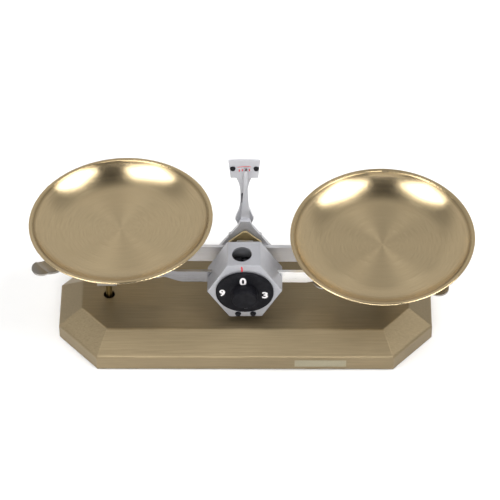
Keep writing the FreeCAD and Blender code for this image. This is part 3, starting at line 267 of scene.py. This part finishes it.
finishes = {
    # pans, base and painted castings
    "pan_left": pan_finish("left", LEFT_LEAN),
    "pan_right": pan_finish("right", LEVEL),
    "base": base_finish("base_paint", (0.245, 0.191, 0.110), (0.31, 0.243, 0.144)),
    "gold": base_finish("gold_paint", (0.42, 0.33, 0.17), (0.55, 0.44, 0.24)),
    "silver": paint_finish("silver_paint", (0.36, 0.362, 0.385), (0.43, 0.433, 0.458), 0.5, 0.40),
    "plate": paint_finish("plate_enamel", (0.45, 0.45, 0.48), (0.53, 0.53, 0.56), 0.1, 0.38, 1600, 0.015),
    "scale_post": paint_finish("post_silver_lit", *POST_LIT_TONES, 0.35, 0.40, black=NECK_RECESS_SHADE),
    "pointer": paint_finish("pointer_silver_lit", *POST_LIT_TONES, 0.35, 0.36, black=POINTER_TIP),
    # painted light: the pointer frame is a lighter copy of the silver paint, standing in for light where it lies
    # in shade
    "pointer_frame": paint_finish("frame_silver_lit", (0.42, 0.423, 0.45), (0.50, 0.503, 0.53), 0.35, 0.42),

    # bare metal
    "bar": brushed_finish("bar_metal", (0.60, 0.61, 0.63), (0.74, 0.75, 0.77), 0.34, ACROSS),
    # the front bar's near-white right half is a painted highlight
    "front_bar": brushed_finish(
        "front_bar_metal", (0.26, 0.26, 0.275), (0.34, 0.34, 0.355), 0.30, ACROSS,
        right_half_highlight=(0.97, 0.97, 0.97),
    ),
    "rear_bar": brushed_finish(
        "rear_bar_metal", (0.62, 0.62, 0.65), (0.74, 0.74, 0.77), 0.36, ACROSS, metallic=0.45,
    ),
    "bright": brushed_finish("bright_plate", (0.27, 0.255, 0.23), (0.34, 0.32, 0.29), 0.38, FINE, 0.004),
    "steel": brushed_finish("steel", (0.50, 0.50, 0.51), (0.62, 0.62, 0.63), 0.30, ROUND),
    "rod": brushed_finish("rod_brass", (0.26, 0.21, 0.10), (0.40, 0.32, 0.17), 0.32, UPRIGHT),

    # black and dark parts
    "black_plastic": plastic_finish("black_plastic", (0.006, 0.006, 0.008), (0.016, 0.016, 0.019), 0.5),
    "black_steel": plastic_finish("black_steel", (0.010, 0.010, 0.012), (0.03, 0.03, 0.033), 0.36),
    "black_gloss": plastic_finish("black_gloss", (0.008, 0.008, 0.01), (0.02, 0.02, 0.023), 0.13, 300, 0.01),
    "rubber": plastic_finish("rubber", (0.02, 0.02, 0.02), (0.05, 0.05, 0.05), 0.7, 700, 0.05),
    "cover": plastic_finish("cover_paint", (0.03, 0.028, 0.024), (0.06, 0.055, 0.05), 0.5, 700, 0.03),

    # marks
    "white_mark": mark_finish("white_mark", (0.80, 0.77, 0.77), (0.92, 0.89, 0.89)),
    "red_mark": mark_finish("red_mark", (0.60, 0.01, 0.015), (0.75, 0.03, 0.04)),
    "label": mark_finish("label_foil", (0.30, 0.27, 0.18), (0.36, 0.32, 0.22)),
}
finishes["guide_rod"] = finishes["silver"]

# a node takes the finish of its own name, or else that of its material slot
BY_SLOT = {
    "base_paint": "base", "gold_paint": "gold", "silver_paint": "silver", "plate_white": "plate",
    "bar_metal": "bar", "bright_plate": "bright", "steel": "steel", "rod_brass": "rod",
    "black_plastic": "black_plastic", "black_steel": "black_steel", "black_gloss": "black_gloss",
    "rubber": "rubber", "cover_paint": "cover",
}
for part in frame["record"]["subparts"]:
    name = part["node"]
    finish = name if name in finishes else BY_SLOT[part["material_slot"]]
    for slot in nodes[name].material_slots:
        slot.material = finishes[finish]


# ---------------------------------------------------------------- numerals, marks and label

MARK_WALL = 0.12 * MM


def new_piece(name, mesh, finish, body):
    piece = bpy.data.objects.new(name, mesh)
    bpy.context.scene.collection.objects.link(piece)
    mesh.materials.clear()
    mesh.materials.append(finishes[finish])
    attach(piece, body)


def flat_mark(name, outline, face, finish, body):
    """Thin mark half sunk in a face that looks to -Y: outline points are (x, z), face is its y."""
    count = len(outline)
    front = face - MARK_WALL / 2
    points = [(x, y, z) for y in (front, front + MARK_WALL) for x, z in outline]
    faces = [list(range(count)), list(range(2 * count - 1, count - 1, -1))]
    faces += [(i, i + count, (i + 1) % count + count, (i + 1) % count) for i in range(count)]
    mesh = bpy.data.meshes.new(name)
    mesh.from_pydata(points, [], faces)
    mesh.validate()
    new_piece(name, mesh, finish, body)


def numeral(text, width, height, spot, front):
    """Bold filled numeral standing up from the dial by a hair, centred on spot (x, z)."""
    name = f"numeral_{text}"
    curve = bpy.data.curves.new(name, "FONT")
    curve.body = text
    curve.offset = 0.035
    curve.extrude = 0.5
    shown = bpy.data.objects.new(name, curve)
    bpy.context.scene.collection.objects.link(shown)
    bpy.context.view_layer.update()
    mesh = bpy.data.meshes.new_from_object(shown.evaluated_get(bpy.context.evaluated_depsgraph_get()))
    bpy.data.objects.remove(shown)
    low = Vector(map(min, *[vertex.co for vertex in mesh.vertices]))
    high = Vector(map(max, *[vertex.co for vertex in mesh.vertices]))
    size = high - low
    scale = Matrix.Diagonal((width / size.x, height / size.y, MARK_WALL / size.z, 1))
    stand = Matrix.Translation((spot[0], front, spot[1])) @ Matrix.Rotation(pi / 2, 4, "X")
    mesh.transform(stand @ scale @ Matrix.Translation(-(low + high) / 2))
    new_piece(name, mesh, "white_mark", "dial")


def from_middle(x, z):
    """A point in mm from the middle of the base, as x and z in the frame's metres."""
    return MIDDLE.x + x * MM, z * MM


# numerals of the dial: width, height, and their centre across and up from the dial's, in mm
NUMERALS = {
    "0": (5.7, 9.9, -1.3, 15.2),
    "3": (5.0, 8.1, 17.7, -2.2),
    "9": (4.9, 8.4, -19.5, 0.6),
    "6": (4.9, 7.8, 0.6, -16.2),
}
hub = Vector(joints["dial_turn"]["pos_m"])
dial_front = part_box("dial")[0].y
for text, (width, height, across, up) in NUMERALS.items():
    numeral(text, width * MM, height * MM, (hub.x + across * MM, hub.z + up * MM), dial_front)

# index stroke on the front of the case, over the dial, in mm from the dial's centre
INDEX_STROKE = (-2.85, 32.0), (-1.75, 32.0), (-1.30, 28.4), (-1.45, 25.4), (-2.75, 25.4)
case_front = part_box("housing_shell")[0].y
stroke = [(hub.x + x * MM, hub.z + z * MM) for x, z in INDEX_STROKE]
flat_mark("index_stroke", stroke, case_front, "red_mark", "beam")

# scale on the plate: an arc over four short strokes, which narrow a little towards the top
ARC_HALF_WIDTH = 5.8
ARC_FOOT, ARC_RISE, ARC_WALL = 169.7, 1.9, 0.55
ARC_START, ARC_SWEEP = 0.16 * pi, 0.55 * pi
ARC_STEPS = 12
STROKES = (-4.3, 165.6, 168.4), (-1.7, 166.0, 168.8), (1.5, 166.0, 169.2), (4.35, 166.3, 169.1)
STROKE_FOOT, STROKE_HEAD = 0.45, 0.4
plate_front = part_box("scale_plate")[0].y
under = []
for step in range(ARC_STEPS + 1):
    part_way = step / ARC_STEPS
    height = ARC_FOOT + ARC_RISE * sin(ARC_START + ARC_SWEEP * part_way)
    under.append((ARC_HALF_WIDTH * (2 * part_way - 1), height))
arc = [from_middle(x, z) for x, z in under] + [from_middle(x, z + ARC_WALL) for x, z in reversed(under)]
flat_mark("scale_arc", arc, plate_front, "red_mark", "base")
for number, (x, foot, head) in enumerate(STROKES):
    outline = [
        from_middle(x - STROKE_FOOT, foot), from_middle(x + STROKE_FOOT, foot),
        from_middle(x + STROKE_HEAD, head), from_middle(x - STROKE_HEAD, head),
    ]
    flat_mark(f"scale_stroke_{number}", outline, plate_front, "red_mark", "base")

# blank foil label on the front skirt
LABEL_LEFT, LABEL_RIGHT = 43.6, 88.9
LABEL_FOOT, LABEL_HEAD = 4.2, 12.6
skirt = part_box("base_shell")[0].y
label = [
    from_middle(LABEL_LEFT, LABEL_FOOT), from_middle(LABEL_RIGHT, LABEL_FOOT),
    from_middle(LABEL_RIGHT, LABEL_HEAD), from_middle(LABEL_LEFT, LABEL_HEAD),
]
flat_mark("blank_label", label, skirt, "label", "base")


# ---------------------------------------------------------------- floor

FLOOR_REACH = 6.0
FLOOR_DROP = 0.2 * MM


def floor_finish():
    """Plain pale paper."""
    f = Finish("floor_paper", Specular_IOR_Level=0.0)
    grain = f.noise(60, 2.0)
    f.set("Base Color", f.mix(grain, (0.97, 0.97, 0.97), (0.99, 0.99, 0.99)))
    f.set("Roughness", 0.9)
    return f.material


corners = [(x * FLOOR_REACH, y * FLOOR_REACH, 0) for x, y in ((-1, -1), (1, -1), (1, 1), (-1, 1))]
mesh = bpy.data.meshes.new("floor")
mesh.from_pydata(corners, [], [(0, 1, 2, 3)])
mesh.materials.append(floor_finish())
floor = bpy.data.objects.new("floor", mesh)
floor.location.z = -FLOOR_DROP
bpy.context.scene.collection.objects.link(floor)


# ---------------------------------------------------------------- light

LIGHT_AIM = Vector((0, 0, 0.1))


def soft_box(name, spot, size, power):
    light = bpy.data.lights.new(name, "AREA")
    light.shape = "RECTANGLE"
    light.size, light.size_y = size
    light.energy = power
    lamp = bpy.data.objects.new(name, light)
    lamp.location = spot
    lamp.rotation_euler = (LIGHT_AIM - Vector(spot)).to_track_quat("-Z", "Y").to_euler()
    bpy.context.scene.collection.objects.link(lamp)


soft_box("left_soft_box", (-1.48, -0.30, 3.0), (1.70, 1.9), 64)
soft_box("right_soft_box", (1.70, -0.30, 3.0), (2.0, 1.9), 80)
soft_box("low_front_soft_box", (0.0, -1.50, 1.15), (1.2, 0.30), 14)

# room: grey all round, falling to near black high up in front; stops are cosines from that direction
ROOM_DARK_WAY = Vector((0, -0.35, 0.94)).normalized()
ROOM_EDGE = (0.0, (0.60, 0.60, 0.60, 1)), (0.86, (0.012, 0.012, 0.013, 1))
ROOM_BETWEEN = (0.40, (0.62, 0.62, 0.62, 1)), (0.66, (0.22, 0.22, 0.22, 1))
world = bpy.data.worlds.new("studio")
world.use_nodes = True
bpy.context.scene.world = world
tree = world.node_tree
direction = tree.nodes.new("ShaderNodeTexCoord").outputs["Generated"]
toward_dark = tree.nodes.new("ShaderNodeVectorMath")
toward_dark.operation = "DOT_PRODUCT"
tree.links.new(direction, toward_dark.inputs[0])
toward_dark.inputs[1].default_value = ROOM_DARK_WAY
ramp = tree.nodes.new("ShaderNodeValToRGB")
tree.links.new(toward_dark.outputs["Value"], ramp.inputs[0])
stops = ramp.color_ramp.elements
for stop, (position, colour) in zip(stops, ROOM_EDGE):
    stop.position, stop.color = position, colour
for position, colour in ROOM_BETWEEN:
    stops.new(position).color = colour
tree.links.new(ramp.outputs[0], tree.nodes["Background"].inputs["Color"])


# ---------------------------------------------------------------- camera

CAMERA_SPOT = MIDDLE + Vector((0.03534, -1.75126, 2.02326))
PITCH, YAW, ROLL = radians(47.83), radians(-1.01), radians(-0.68)
SENSOR_WIDTH, FOCAL_LENGTH = 36.0, 215.097    # mm
forward = Vector((sin(YAW) * cos(PITCH), cos(YAW) * cos(PITCH), -sin(PITCH)))
sideways = Vector((cos(YAW), -sin(YAW), 0))
upward = sideways.cross(forward)
right = cos(ROLL) * sideways + sin(ROLL) * upward
above = -sin(ROLL) * sideways + cos(ROLL) * upward
lens = bpy.data.cameras.new("camera")
lens.sensor_width = SENSOR_WIDTH
lens.lens = FOCAL_LENGTH
lens.clip_start, lens.clip_end = 0.05, 50.0
camera = bpy.data.objects.new("camera", lens)
turn = Matrix((right, above, -forward)).transposed().to_4x4()
camera.matrix_world = Matrix.Translation(CAMERA_SPOT) @ turn
bpy.context.scene.collection.objects.link(camera)
bpy.context.scene.camera = camera
bpy.context.scene.view_settings.view_transform = "Standard"
